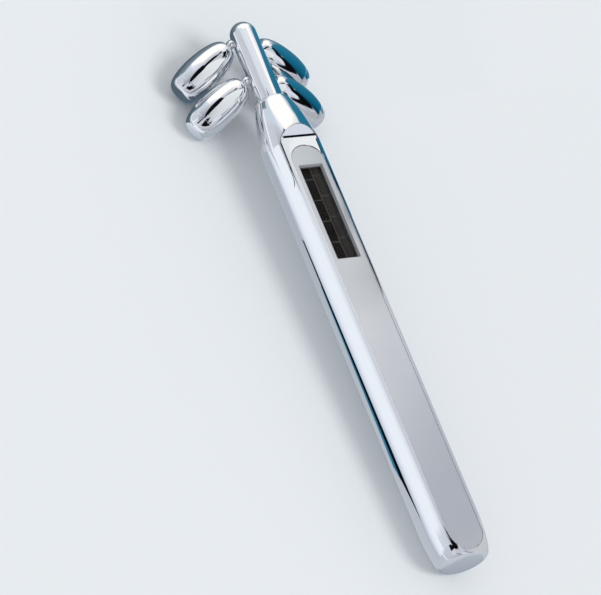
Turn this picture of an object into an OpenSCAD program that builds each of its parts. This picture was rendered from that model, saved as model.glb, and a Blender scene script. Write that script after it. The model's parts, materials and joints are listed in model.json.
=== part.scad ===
// Facial toning device: a chromed round bar with a milled face, a satin inlay
// plate with a solar window, and a round stem that carries four free rollers.
//
// Every piece is drawn standing on the handle's end face, with its length along
// +Z and its face toward -Y. lay() then puts the device on its back, the way it
// rests on a table: on the back of the handle and on the two lower rollers.

/* [Handle] */
// Radius of the round bar
handle_r = 9.25; // [7.5:0.05:11]
// Length of the handle, from its end face to the shoulder where the stem comes out
handle_len = 161.8; // [130:0.1:190]
// Wall of the handle around its cavity
handle_wall = 1.85; // [1.2:0.05:2.2]
// How much smaller the flat round end face is than the bar, in radius
end_rounding = 2.55; // [1.5:0.05:4]
// Length over which the end rounds up to the full bar
end_round_len = 13; // [8:0.5:16]
// Length over which the head rounds in, up to the shoulder
head_len = 18.6; // [15:0.1:23]
// Width of the shoulder around the stem, with its rounded corner
shoulder_rim = 1.53; // [1.45:0.01:1.8]
// Radius of the shoulder's rounded corner
shoulder_round = 1.2; // [0.6:0.1:1.2]
// Depth of the milled face below the round of the bar
face_depth = 2.75; // [2:0.05:3.2]
// Distance from the milled face's end to the shoulder
face_margin = 17.6; // [14.5:0.1:20]
// Radius of the cove at the end of the milled face
cove_r = 2; // [0.6:0.05:2.6]
// Angle between the cove's ramp and the bar's axis
cove_ramp = 33; // [28:1:50]

/* [Inlay] */
// Width of the milled face that shows on each side of the inlay plate
plate_rim = 0.78; // [0.5:0.01:1.2]
// Distance from the handle's end face to the plate's lower end
plate_margin = 1.9; // [1.2:0.1:4]
// Distance from the plate's upper end to the milled face's end
plate_gap = 2.6; // [2:0.1:5]
// Thickness of the inlay plate
plate_t = 1.7; // [1.2:0.1:1.8]
// How far the plate lies below the milled face
plate_sink = 0.2; // [0.05:0.05:0.4]
// Width of the solar window
window_w = 8.3; // [6.5:0.1:9]
// Length of the solar window
window_len = 33.5; // [26:0.5:60]
// Distance from the window to the plate's upper end
window_gap = 7; // [5:0.1:12]

/* [Stem] */
// Radius of the stem
stem_r = 4.2; // [3.4:0.05:5]
// Length of the stem, from the shoulder to its round tip
stem_len = 29.6; // [26:0.2:40]
// Distance from the tip to where the upper axles cross the stem's axis
axle_drop = 3.6; // [3:0.1:6]

/* [Rollers] */
// Angle that the axles are swept to the back
sweep = 29.9; // [22:0.1:36]
// Angle that the axles droop toward the handle
droop = 26; // [20:0.1:32]
// Distance from the stem's surface to a roller's inner end, measured on the axle
roller_offset = 2.55; // [2.3:0.05:4]
// Length of a roller
roller_len = 21.9; // [20:0.1:28]
// Largest radius of a roller
roller_r = 5.88; // [5:0.01:7]
// Radius of a roller's inner end
roller_inner_r = 2.45; // [2.2:0.01:2.8]
// Distance of a roller's widest place from its inner end
roller_wide_at = 12.9; // [10:0.1:14]
// Space between the upper and the lower roller
roller_space = 0.7; // [0.4:0.01:3]
// Length of the cap at a roller's outer end, up to its seam
cap_len = 4.1; // [3.6:0.1:5.5]
// Radius of an axle
axle_r = 1.1; // [0.9:0.05:1.25]
// Radial running clearance between an axle and its bushes
running_gap = 0.05; // [0.03:0.01:0.08]

/* [Hidden] */
$fn = 96;
eps = 0.02;
curve_steps = 18;

// The bar's outline and its milled face
end_face_r = handle_r - end_rounding;
shoulder_r = stem_r + shoulder_rim;
dome_start = handle_len - head_len;
dome_end = handle_len - shoulder_round;
dome_power = 1.4;
dome_len = (dome_end - dome_start) / pow(1 - pow(shoulder_r / handle_r, 2), 1 / dome_power);
face_y = handle_r - face_depth;
face_half_w = sqrt(pow(handle_r, 2) - pow(face_y, 2));
face_end = handle_len - face_margin;

// The inlay plate, its pocket and the slot behind it
tape_t = 0.1;
tape_inset = 0.1;
pocket_gap = 0.05;
ledge_t = 1;
lens_rim = 0.35;
lens_gap = 0.1;
plate_half_w = face_half_w - plate_rim;
plate_low = plate_margin;
plate_high = face_end - plate_gap;
plate_face_y = face_y - plate_sink;
plate_back_y = plate_face_y - plate_t;
pocket_floor_y = plate_back_y - tape_t;
window_high = plate_high - window_gap;
window_low = window_high - window_len;
lens_w = window_w + 2 * lens_rim;
slot_half_w = lens_w / 2 + lens_gap;
slot_margin = 2;
slot_low = plate_low + slot_margin;
slot_high = plate_high - slot_margin;

// The cavity, and the chamber in the head that takes the stem's nut
cavity_r = handle_r - handle_wall;
cavity_face_y = pocket_floor_y - ledge_t;
cavity_low = 8;
cavity_margin = 0.8;
cavity_high = plate_high + cavity_margin;
head_bore_len = 13;
chamber_high = handle_len - head_bore_len;

// Window, cell, tray and board, from the face to the back
lens_t = 0.8;
lens_back_y = plate_back_y - lens_t;
lens_margin = 0.7;
cell_t = 0.4;
cell_rim = 0.15;
cell_w = window_w + 2 * cell_rim;
cell_margin = 0.3;
cell_back_y = lens_back_y - cell_t;
tray_t = 1.8;
tray_back_y = lens_back_y - tray_t;
tray_margin = 0.9;
board_w = 8;
board_len = 34;
board_t = 0.8;
board_gap = 0.5;
board_drop = 4.3;
board_high = window_high - board_drop;
board_low = board_high - board_len;
board_face_y = tray_back_y - board_gap;
board_back_y = board_face_y - board_t;
post_r = 0.8;
post_foot_r = 1.6;
post_head = 0.4;
post_margin = 7;
post_z = [board_low + post_margin, board_high - post_margin];
chip_w = 4;
chip_t = 1;
chip_margin = 15;
chip_low = board_low + chip_margin;
can_r = 2;
can_len = 4.5;
can_gap = 1.2;
can_z = chip_low + chip_w + can_gap + can_r;
wire_r = 0.3;
wire_x = 2;
wire_margin = 1;
wire_z = window_low + wire_margin;
contact_t = 0.3;
contact_w = 3;

// Stem, its sleeve and its fastening
flange_t = 0.3;
flange_rim = 0.2;
flange_r = stem_r + flange_rim;
stem_low = handle_len + flange_t;
overall_len = handle_len + stem_len;
tip_z = overall_len - stem_r;
spigot_r = 2;
sleeve_wall = 0.65;
sleeve_r = spigot_r + sleeve_wall;
insulator_r = 3.5;
insulator_t = 0.8;
lock_washer_r = 3.4;
lock_washer_t = 0.5;
nut_t = 3.2;
nut_flats = 7;
nut_r = nut_flats / 2 / cos(30);
nut_gap = 0.4;
spigot_end = 0.5;
insulator_low = chamber_high - insulator_t;
lock_washer_low = insulator_low - lock_washer_t;
nut_low = lock_washer_low - nut_t;
spigot_low = nut_low - spigot_end;

// Axles, bushes and clips, all measured from the stem's axis
axle_pitch = (2 * roller_r + roller_space) / cos(droop);
upper_axle_z = overall_len - axle_drop;
lower_axle_z = upper_axle_z - axle_pitch;
axle_inner = 1.2;
seat_rim = 0.4;
seat_r = axle_r + seat_rim;
seat_margin = 0.1;
seat_at = stem_r + seat_margin;
roller_start = stem_r + roller_offset;
spacer_gap = 0.12;
spacer_end = roller_start - spacer_gap;
spacer_crown = 0.95;
bush_wall = 0.75;
bush_r = axle_r + bush_wall;
bush_len = 5;
bush_gap = 0.4;
seam_at = roller_start + roller_len - cap_len;
cap_pocket_len = 3.4;
cap_wall = 2.4;
cap_pocket_r = roller_r - cap_wall;
cap_pocket_at = seam_at - cap_pocket_len;
outer_bush_at = cap_pocket_at - bush_len;
clip_gap = 0.2;
clip_t = 0.5;
clip_rim = 1.3;
clip_r = axle_r + clip_rim;
groove_depth = 0.3;
groove_r = axle_r - groove_depth;
clip_at = cap_pocket_at + clip_gap;
axle_tail = 0.8;
axle_end = clip_at + clip_t + axle_tail;
cap_spigot_len = 1.2;
cap_hollow_r = clip_r + clip_gap;
cap_hollow_len = 2.6;

// Roller outline: a rounded barrel, slimmer toward its inner end
fullness = 1.78;
inner_round = 3.5;
outer_round = 5;
roller_inner_half =
    roller_wide_at / pow(1 - pow(roller_inner_r / roller_r, inner_round), 1 / fullness);
roller_outer_half = roller_len - roller_wide_at;
function roller_side(u, round_power) = roller_r * pow(max(0, 1 - pow(u, fullness)), 1 / round_power);
function roller_radius(x) =
    x < roller_wide_at
    ? roller_side((roller_wide_at - x) / roller_inner_half, inner_round)
    : roller_side((x - roller_wide_at) / roller_outer_half, outer_round);

// Bar outline: a rounded end, a straight bar, and a head that rounds in to the shoulder
function end_radius(z) =
    end_face_r + end_rounding * sqrt(1 - pow((end_round_len - z) / end_round_len, 2));
function dome_radius(z) = handle_r * sqrt(1 - pow((z - dome_start) / dome_len, dome_power));

// The plane that the device rests on leans back by the angle at which it touches
// the handle's back and the lower rollers together.
reach_steps = 60;
axle_back = sin(sweep) * cos(droop);
axle_down = sin(droop);
function roller_reach(t) =
    let (lean = axle_back * cos(t) + axle_down * sin(t))
    max([for (i = [0 : reach_steps])
        let (x = roller_len * i / reach_steps)
        (roller_start + x) * lean - lower_axle_z * sin(t) + roller_radius(x) * sqrt(1 - lean * lean)]);
function handle_reach(t) =
    max([for (i = [0 : reach_steps])
        let (z = end_round_len * i / reach_steps)
        end_radius(z) * cos(t) - z * sin(t)]);
function settle(t, rounds) =
    rounds == 0 ? t
    : settle(t + atan((roller_reach(t) - handle_reach(t)) / lower_axle_z), rounds - 1);
rest_tilt = settle(0, 6);
rest_z = handle_reach(rest_tilt);
tail_y = -end_face_r * sin(rest_tilt);
tip_y = tip_z * cos(rest_tilt) + stem_r;
mid_y = (tail_y + tip_y) / 2;

// Which side of the stem, and at which height
LEFT = -1;
RIGHT = 1;
UPPER = upper_axle_z;
LOWER = lower_axle_z;

// Puts the standing device on its back, at rest on z = 0
module lay() {
    translate([0, -mid_y, rest_z]) rotate([rest_tilt - 90, 0, 0]) children();
}

// Moves a piece drawn along +Z from the stem's axis onto one of the four axles
module on_axle(side, height) {
    lay() translate([0, 0, height])
        rotate([0, 90 + droop, side > 0 ? sweep : 180 - sweep]) children();
}

// A plain ring or tube between two heights
module tube(outer_r, inner_r, low, high) {
    translate([0, 0, low]) difference() {
        cylinder(r = outer_r, h = high - low);
        translate([0, 0, -eps]) cylinder(r = inner_r, h = high - low + 2 * eps);
    }
}

// A slot shape with round ends along Z, from front_y in the face back to back_y
module slot_block(half_w, low, high, front_y, back_y) {
    translate([0, -back_y, 0]) rotate([90, 0, 0]) linear_extrude(front_y - back_y) {
        translate([0, low + half_w]) circle(half_w);
        translate([0, high - half_w]) circle(half_w);
        translate([-half_w, low + half_w]) square([2 * half_w, high - low - 2 * half_w]);
    }
}

// A block across the face, between two heights and two depths behind the face
module face_block(width, low, high, front_y, back_y) {
    translate([-width / 2, -front_y, low]) cube([width, front_y - back_y, high - low]);
}

// A bent strip: a path in the plane of Y and Z, with rounded bends
module strip(path, thickness, width) {
    translate([-width / 2, 0, 0]) rotate([90, 0, 90]) linear_extrude(width)
        for (i = [0 : len(path) - 2]) {
            step = path[i + 1] - path[i];
            translate(path[i]) rotate(atan2(step[1], step[0]))
                translate([0, -thickness / 2]) square([norm(step), thickness]);
            translate(path[i + 1]) circle(d = thickness, $fn = 24);
        }
}

// The solid bar before it is milled
module bar() {
    corner_steps = 8;
    rotate_extrude() polygon(concat(
        [[0, 0]],
        [for (i = [0 : curve_steps])
            let (z = end_round_len * (1 - cos(90 * i / curve_steps))) [end_radius(z), z]],
        [for (i = [0 : curve_steps])
            let (z = dome_start + (dome_end - dome_start) * i / curve_steps) [dome_radius(z), z]],
        [for (i = [1 : corner_steps])
            let (a = 90 * i / corner_steps)
            [shoulder_r - shoulder_round * (1 - cos(a)), dome_end + shoulder_round * sin(a)]],
        [[0, handle_len]]
    ));
}

// What the cutter takes off the front: the flat face and the cove at its end
module face_cut() {
    ramp_len = 8;
    cut_y = -2 * handle_r;
    ramp_foot = [-face_y - cove_r * (1 - cos(cove_ramp)), face_end + cove_r * sin(cove_ramp)];
    ramp_top = ramp_foot + ramp_len * [-sin(cove_ramp), cos(cove_ramp)];
    translate([-2 * handle_r, 0, 0]) rotate([90, 0, 90]) linear_extrude(4 * handle_r)
        polygon(concat(
            [[cut_y, -1], [-face_y, -1]],
            [for (i = [0 : 8])
                let (a = cove_ramp * i / 8)
                [-face_y - cove_r * (1 - cos(a)), face_end + cove_r * sin(a)]],
            [ramp_top, [cut_y, ramp_top[1]]]
        ));
}

module handle_shell() {
    color("silver") lay() difference() {
        bar();
        face_cut();
        slot_block(plate_half_w + pocket_gap, plate_low - pocket_gap, plate_high + pocket_gap,
            handle_r, pocket_floor_y);
        slot_block(slot_half_w, slot_low, slot_high, handle_r, cavity_face_y - eps);
        intersection() {
            translate([0, 0, cavity_low]) cylinder(r = cavity_r, h = cavity_high - cavity_low);
            translate([-handle_r, -cavity_face_y, 0]) cube([2 * handle_r, 2 * handle_r, handle_len]);
        }
        translate([0, 0, cavity_high - eps])
            cylinder(r = nut_r + nut_gap, h = chamber_high - cavity_high + eps);
        translate([0, 0, chamber_high - eps])
            cylinder(r = sleeve_r, h = head_bore_len + 2 * eps);
    }
}

module inlay_plate() {
    color("gainsboro") lay() difference() {
        slot_block(plate_half_w, plate_low, plate_high, plate_face_y, plate_back_y);
        face_block(window_w, window_low, window_high, handle_r, 0);
    }
}

module plate_tape() {
    color("black") lay() difference() {
        slot_block(plate_half_w - tape_inset, plate_low + tape_inset, plate_high - tape_inset,
            plate_back_y, pocket_floor_y);
        slot_block(slot_half_w, slot_low, slot_high, handle_r, 0);
    }
}

module window_lens() {
    color("lightgray", 0.4) lay()
        face_block(lens_w, window_low - lens_margin, window_high + lens_margin,
            plate_back_y, lens_back_y);
}

module solar_cell() {
    color("#241812") lay()
        face_block(cell_w, window_low - cell_margin, window_high + cell_margin,
            lens_back_y, cell_back_y);
}

module cell_tray() {
    color("#303030") lay() {
        difference() {
            face_block(lens_w, window_low - tray_margin, window_high + tray_margin,
                lens_back_y, tray_back_y);
            face_block(cell_w, window_low - cell_margin, window_high + cell_margin,
                handle_r, cell_back_y);
            for (side = [LEFT, RIGHT])
                translate([side * wire_x, 0, wire_z]) rotate([90, 0, 0])
                    cylinder(r = 2 * wire_r, h = 2 * handle_r, center = true);
        }
        for (z = post_z) translate([0, -tray_back_y, z]) rotate([-90, 0, 0])
            cylinder(r = post_r, h = board_gap + board_t + post_head);
        for (z = post_z) translate([0, -tray_back_y, z]) rotate([-90, 0, 0])
            cylinder(r = post_foot_r, h = board_gap);
    }
}

module circuit_board() {
    color("darkgreen") lay() difference() {
        face_block(board_w, board_low, board_low + board_len, board_face_y, board_back_y);
        for (z = post_z) translate([0, 0, z]) rotate([90, 0, 0])
            cylinder(r = post_r, h = 2 * handle_r, center = true);
    }
}

module converter_chip() {
    color("#1c1c1e") lay()
        face_block(chip_w, chip_low, chip_low + chip_w, board_back_y, board_back_y - chip_t);
}

module storage_capacitor() {
    color("#39507a") lay() translate([0, -board_back_y, can_z]) rotate([-90, 0, 0])
        cylinder(r = can_r, h = can_len);
}

// A wire from each end of the cell's back through the tray to the board
module cell_leads() {
    color("firebrick") lay() for (side = [LEFT, RIGHT])
        translate([side * wire_x, -cell_back_y, wire_z]) rotate([-90, 0, 0])
            cylinder(r = wire_r, h = cell_back_y - board_face_y, $fn = 24);
}

// Spring strip from the board to the end of the stem's spigot
module stem_contact() {
    foot_y = -board_back_y + contact_t / 2;
    foot_len = 4;
    pad_z = spigot_low - contact_t / 2;
    color("goldenrod") lay() strip([
        [foot_y, board_high - foot_len],
        [foot_y, board_high],
        [spigot_r, (board_high + pad_z) / 2],
        [-spigot_r / 2, pad_z],
        [spigot_r / 2, pad_z]
    ], contact_t, contact_w);
}

// Spring strip from the board to the back wall of the cavity
module handle_contact() {
    foot_y = -board_back_y + contact_t / 2;
    foot_margin = 1.5;
    foot_at = board_low + foot_margin;
    foot_len = 3;
    rise_len = 4.5;
    wall_y = sqrt(pow(cavity_r, 2) - pow(contact_w / 2, 2)) - contact_t / 2;
    color("goldenrod") lay() strip([
        [foot_y, foot_at],
        [foot_y, foot_at + foot_len],
        [wall_y, foot_at + foot_len + rise_len],
        [wall_y, foot_at + 2 * foot_len + rise_len]
    ], contact_t, contact_w);
}

module stem() {
    color("silver") difference() {
        lay() {
            translate([0, 0, spigot_low]) cylinder(r = spigot_r, h = stem_low - spigot_low + eps);
            translate([0, 0, stem_low]) cylinder(r = stem_r, h = tip_z - stem_low);
            translate([0, 0, tip_z]) sphere(stem_r);
        }
        for (side = [LEFT, RIGHT], height = [UPPER, LOWER]) on_axle(side, height) {
            translate([0, 0, axle_inner]) cylinder(r = axle_r, h = 2 * stem_r);
            translate([0, 0, seat_at]) cylinder(r = seat_r, h = stem_r);
        }
    }
}

// Insulating sleeve through the head, with a flange on the shoulder
module stem_sleeve() {
    color("ivory") lay() {
        tube(sleeve_r, spigot_r, chamber_high, handle_len);
        tube(flange_r, spigot_r, handle_len, stem_low);
    }
}

module insulating_washer() {
    color("#202022") lay() tube(insulator_r, spigot_r, insulator_low, chamber_high);
}

module lock_washer() {
    color("silver") lay() tube(lock_washer_r, spigot_r, lock_washer_low, insulator_low);
}

module stem_nut() {
    color("silver") lay() translate([0, 0, nut_low]) difference() {
        cylinder(r = nut_r, h = nut_t, $fn = 6);
        translate([0, 0, -eps]) cylinder(r = spigot_r, h = nut_t + 2 * eps);
    }
}

// Axle pin: pressed into the stem, with a groove for its clip
module axle(side, height) {
    color("silver") on_axle(side, height) difference() {
        translate([0, 0, axle_inner]) cylinder(r = axle_r, h = axle_end - axle_inner);
        tube(2 * axle_r, groove_r, clip_at, clip_at + clip_t);
    }
}

// Rounded spacer that shows between the stem and the roller
module spacer(side, height) {
    mid = (seat_at + spacer_end) / 2;
    neck_rim = 0.25;
    neck_r = axle_r + neck_rim;
    color("silver") on_axle(side, height) rotate_extrude() {
        translate([axle_r, seat_at]) square([seat_r - axle_r, mid - seat_at]);
        translate([axle_r, mid]) square([neck_r - axle_r, spacer_end - mid]);
        intersection() {
            translate([seat_r - spacer_crown, mid]) circle(spacer_crown);
            translate([axle_r, seat_at]) square([seat_r, spacer_end - seat_at]);
        }
    }
}

// Clip ring in the axle's groove, inside the roller's cap
module clip(side, height) {
    color("dimgray") on_axle(side, height) tube(clip_r, groove_r, clip_at, clip_at + clip_t);
}

// Outline of the whole roller between two distances from its inner end
function roller_outline(from, to) = [
    for (i = [0 : 2 * curve_steps])
        let (x = from + (to - from) * (1 - cos(180 * i / (2 * curve_steps))) / 2)
        [roller_radius(x), roller_start + x]
];

module roller(side, height) {
    color("silver") on_axle(side, height) difference() {
        rotate_extrude() polygon(concat(
            [[0, roller_start]],
            roller_outline(0, roller_len - cap_len),
            [[0, seam_at]]
        ));
        translate([0, 0, roller_start - eps]) cylinder(r = bush_r, h = bush_len + eps);
        translate([0, 0, roller_start]) cylinder(r = axle_r + bush_gap, h = roller_len);
        translate([0, 0, outer_bush_at]) cylinder(r = bush_r, h = bush_len + eps);
        translate([0, 0, cap_pocket_at]) cylinder(r = cap_pocket_r, h = roller_len);
    }
}

module cap(side, height) {
    color("silver") on_axle(side, height) difference() {
        union() {
            rotate_extrude() polygon(concat(
                [[0, seam_at]],
                roller_outline(roller_len - cap_len, roller_len)
            ));
            translate([0, 0, seam_at - cap_spigot_len])
                cylinder(r = cap_pocket_r, h = cap_spigot_len + eps);
        }
        translate([0, 0, seam_at - cap_spigot_len - eps])
            cylinder(r = cap_hollow_r, h = cap_hollow_len);
    }
}

// Bush that runs on the axle, pressed into the roller
module bush(side, height, at) {
    color("ivory") on_axle(side, height) tube(bush_r, axle_r + running_gap, at, at + bush_len);
}

handle_shell();
inlay_plate();
plate_tape();
window_lens();
solar_cell();
cell_tray();
circuit_board();
converter_chip();
storage_capacitor();
cell_leads();
stem_contact();
handle_contact();
stem();
stem_sleeve();
insulating_washer();
lock_washer();
stem_nut();
axle(LEFT, UPPER);  // axle_left_upper
axle(LEFT, LOWER);  // axle_left_lower
axle(RIGHT, UPPER);  // axle_right_upper
axle(RIGHT, LOWER);  // axle_right_lower
spacer(LEFT, UPPER);  // spacer_left_upper
spacer(LEFT, LOWER);  // spacer_left_lower
spacer(RIGHT, UPPER);  // spacer_right_upper
spacer(RIGHT, LOWER);  // spacer_right_lower
clip(LEFT, UPPER);  // clip_left_upper
clip(LEFT, LOWER);  // clip_left_lower
clip(RIGHT, UPPER);  // clip_right_upper
clip(RIGHT, LOWER);  // clip_right_lower
roller(LEFT, UPPER);  // roller_left_upper
roller(LEFT, LOWER);  // roller_left_lower
roller(RIGHT, UPPER);  // roller_right_upper
roller(RIGHT, LOWER);  // roller_right_lower
cap(LEFT, UPPER);  // cap_left_upper
cap(LEFT, LOWER);  // cap_left_lower
cap(RIGHT, UPPER);  // cap_right_upper
cap(RIGHT, LOWER);  // cap_right_lower
bush(LEFT, UPPER, roller_start);  // inner_bush_left_upper
bush(LEFT, LOWER, roller_start);  // inner_bush_left_lower
bush(RIGHT, UPPER, roller_start);  // inner_bush_right_upper
bush(RIGHT, LOWER, roller_start);  // inner_bush_right_lower
bush(LEFT, UPPER, outer_bush_at);  // outer_bush_left_upper
bush(LEFT, LOWER, outer_bush_at);  // outer_bush_left_lower
bush(RIGHT, UPPER, outer_bush_at);  // outer_bush_right_upper
bush(RIGHT, LOWER, outer_bush_at);  // outer_bush_right_lower
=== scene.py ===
# %% [markdown]
# # A chromed facial toning device
# The device is a round metal bar with a flat milled on its front, a satin plate let
# into the flat, a small solar window in the plate, and a stem with four free rollers.
# Nearly all of it is bright chrome. Chrome has no colour of its own: it shows the
# room around it, bent by its own curves. So two things make this object: clean
# curves, and a studio that is worth reflecting.
#
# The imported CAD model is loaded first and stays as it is. Each piece modelled here
# takes the place of a CAD node, and every other node gets its finish here.

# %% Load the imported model
import json
import math

import bpy
from mathutils import Matrix, Vector


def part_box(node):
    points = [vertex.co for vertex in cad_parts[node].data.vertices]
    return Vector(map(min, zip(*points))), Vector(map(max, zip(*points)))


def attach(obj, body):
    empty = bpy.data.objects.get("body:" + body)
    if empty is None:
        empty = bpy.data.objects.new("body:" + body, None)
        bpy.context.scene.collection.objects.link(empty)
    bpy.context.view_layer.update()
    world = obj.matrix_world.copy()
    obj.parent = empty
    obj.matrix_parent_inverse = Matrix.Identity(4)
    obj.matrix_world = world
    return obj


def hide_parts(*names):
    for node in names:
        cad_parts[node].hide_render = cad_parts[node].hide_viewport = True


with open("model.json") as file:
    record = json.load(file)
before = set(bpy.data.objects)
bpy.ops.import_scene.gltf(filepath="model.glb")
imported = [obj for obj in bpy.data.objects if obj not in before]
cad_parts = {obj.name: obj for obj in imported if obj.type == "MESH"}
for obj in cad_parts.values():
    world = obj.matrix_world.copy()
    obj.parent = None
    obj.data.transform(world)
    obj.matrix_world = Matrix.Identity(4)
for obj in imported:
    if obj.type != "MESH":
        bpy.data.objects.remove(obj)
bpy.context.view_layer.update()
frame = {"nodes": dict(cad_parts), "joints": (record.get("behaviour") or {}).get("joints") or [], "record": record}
nodes = frame["nodes"]

# %% [markdown]
# The pieces are easiest to model standing up, in millimetres, with the end face on
# the ground and the milled face toward the viewer (-Y). The finished device lies on
# its back. The end face is a mount in the record, so its place and its direction
# say how to lay a standing piece down. Each roller's hinge does the same for what
# sits on its axle: such a piece is drawn along +Z, outward from the stem's axis.

# %% How a standing piece is laid down
MM = 0.001
end_face = frame["record"]["mounts"][0]
foot = Vector(end_face["pos_m"])
along = -Vector(end_face["axis"]).normalized()
right = Vector((1, 0, 0))
behind = along.cross(right)
turn = Matrix((right, behind, along)).transposed().to_4x4()
LAY_DOWN = Matrix.Translation(foot) @ turn @ Matrix.Scale(MM, 4)


def axle_place(joint):
    """The place of a piece that is drawn along +Z from the stem's axis."""
    axis = Vector(joint["axis"]).normalized()
    middle = Vector(joint["pos_m"])
    crossing = middle - axis * (middle.x / axis.x)
    aim = axis.to_track_quat("Z", "Y").to_matrix().to_4x4()
    return Matrix.Translation(crossing) @ aim @ Matrix.Scale(MM, 4)


AXLES = {joint["child"].replace("roller_", ""): axle_place(joint) for joint in frame["joints"]}
print("end face at", [round(c, 5) for c in foot], "axles:", sorted(AXLES))

# %% [markdown]
# A few small helpers keep the steps short. Each does what a hand does in Blender:
# select one thing, spin an outline round an axis, cut one shape with another, and
# put a finished piece in its place with the place stored in its mesh. A long
# outline is laid down as one chain of edges, because that is quicker than extruding
# a vertex hundreds of times, and the spin does the rest.

# %% Helpers for modelling
WELD = 1e-4


def deselect():
    """Select nothing."""
    bpy.ops.object.select_all(action="DESELECT")


def only(obj):
    """Select one object and make it the active one."""
    deselect()
    obj.select_set(True)
    bpy.context.view_layer.objects.active = obj
    return obj


def outline_object(name, points):
    """A chain of edges through the points."""
    mesh = bpy.data.meshes.new(name)
    mesh.from_pydata(points, [(i, i + 1) for i in range(len(points) - 1)], [])
    obj = bpy.data.objects.new(name, mesh)
    bpy.context.scene.collection.objects.link(obj)
    return only(obj)


def edit_all():
    """Open the active mesh, with all of it selected."""
    bpy.ops.object.mode_set(mode="EDIT")
    bpy.ops.mesh.select_all(action="SELECT")


def close_up():
    """Weld what meets, turn every face outwards and leave edit mode."""
    bpy.ops.mesh.select_all(action="SELECT")
    bpy.ops.mesh.remove_doubles(threshold=WELD)
    bpy.ops.mesh.normals_make_consistent(inside=False)
    bpy.ops.object.mode_set(mode="OBJECT")


def turned(name, outline, steps):
    """A solid turned on a lathe: the outline is a list of (radius, height)."""
    obj = outline_object(name, [(r, 0, z) for r, z in outline])
    edit_all()
    bpy.ops.mesh.spin(steps=steps, angle=math.tau, center=(0, 0, 0), axis=(0, 0, 1))
    close_up()
    return obj


def cut(obj, cutter):
    """Take the cutter's shape out of the object, and put the cutter away."""
    only(obj)
    modifier = obj.modifiers.new("cut", "BOOLEAN")
    modifier.operation = "DIFFERENCE"
    modifier.solver = "EXACT"
    modifier.object = cutter
    bpy.ops.object.modifier_apply(modifier="cut")
    bpy.data.objects.remove(cutter)


def soften(obj, width, segments, angle):
    """Round the edges that are sharper than the angle."""
    only(obj)
    bevel = obj.modifiers.new("edges", "BEVEL")
    bevel.width = width
    bevel.segments = segments
    bevel.limit_method = "ANGLE"
    bevel.angle_limit = math.radians(angle)
    bpy.ops.object.modifier_apply(modifier="edges")


def smooth(obj, angle=30):
    """Shade curves smoothly and keep edges sharper than the angle crisp."""
    only(obj)
    bpy.ops.object.shade_smooth_by_angle(angle=math.radians(angle))


def copy_of(obj, name):
    """A second piece of the same shape, with a mesh of its own."""
    twin = obj.copy()
    twin.data = obj.data.copy()
    twin.name = name
    bpy.context.scene.collection.objects.link(twin)
    return twin


def finish_piece(obj, place, body, material, slot, *replaced):
    """Store the place in the mesh, then give the piece its body and finish; the slot is not used."""
    only(obj)
    obj.matrix_world = place
    bpy.ops.object.transform_apply()
    obj.data.materials.clear()
    obj.data.materials.append(material)
    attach(obj, body)
    if replaced:
        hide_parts(*replaced)
    print(obj.name, "has", len(obj.data.polygons), "faces")


def evenly(start, end, count):
    """Numbers from the start up to, but without, the end."""
    return [start + (end - start) * i / count for i in range(count)]


# %% [markdown]
# ## The finishes
# Every finish is one Principled shader with a little pattern on it. The patterns
# read Object coordinates, which are metres here, so a scale of 1000 gives features
# of about one millimetre. Small helpers make a pattern and lay it on a shader: one
# lets it vary the roughness, one raises it as relief, and one lets it choose between
# two tones.

# %% Helpers for finishes
def set_inputs(inputs, values):
    """Set sockets by name, written with _ where the name has a space."""
    for name, value in values.items():
        inputs[name.replace("_", " ")].default_value = value


def main_inputs(material):
    """The sockets of a material's main shader."""
    return material.node_tree.nodes["Principled BSDF"].inputs


def new_material(name, base, metallic, roughness, **others):
    """A material with its main shader set up."""
    material = bpy.data.materials.new(name)
    material.use_nodes = True
    values = {"Base Color": (*base, 1), "Metallic": metallic, "Roughness": roughness, **others}
    set_inputs(main_inputs(material), values)
    return material


def add_node(material, kind, **inputs):
    """A new node, with the named inputs set."""
    node = material.node_tree.nodes.new(kind)
    set_inputs(node.inputs, inputs)
    return node


def join(material, source, target):
    """Link two sockets of a material or of the world."""
    material.node_tree.links.new(source, target)


def object_place(material, stretch=(1, 1, 1)):
    """Object coordinates, stretched where the pattern runs in one direction."""
    place = add_node(material, "ShaderNodeTexCoord")
    mapping = add_node(material, "ShaderNodeMapping", Scale=stretch)
    join(material, place.outputs["Object"], mapping.inputs["Vector"])
    return mapping.outputs["Vector"]


def cloudy(material, scale, detail, stretch=(1, 1, 1)):
    """A soft random pattern from 0 to 1."""
    noise = add_node(material, "ShaderNodeTexNoise", Scale=scale, Detail=detail)
    join(material, object_place(material, stretch), noise.inputs["Vector"])
    return noise.outputs["Fac"]


def spread(material, pattern, low, high, start=0.3, end=0.7):
    """Turn a pattern into a number between low and high."""
    node = add_node(material, "ShaderNodeMapRange",
                    From_Min=start, From_Max=end, To_Min=low, To_Max=high)
    join(material, pattern, node.inputs["Value"])
    return node.outputs["Result"]


def roughen(material, pattern, low, high):
    """Let the pattern vary the roughness."""
    join(material, spread(material, pattern, low, high), main_inputs(material)["Roughness"])


def raise_relief(material, pattern, height, under=None):
    """Raise the pattern by a height in metres, on top of another relief."""
    bump = add_node(material, "ShaderNodeBump", Distance=height, Strength=1)
    join(material, pattern, bump.inputs["Height"])
    if under:
        join(material, under, bump.inputs["Normal"])
    join(material, bump.outputs["Normal"], main_inputs(material)["Normal"])
    return bump.outputs["Normal"]


def two_tone(material, pattern, first, second):
    """Let the pattern choose between two colours."""
    mix = add_node(material, "ShaderNodeMix")
    mix.data_type = "RGBA"
    mix.inputs["A"].default_value = (*first, 1)
    mix.inputs["B"].default_value = (*second, 1)
    join(material, pattern, mix.inputs["Factor"])
    join(material, mix.outputs["Result"], main_inputs(material)["Base Color"])


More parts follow.
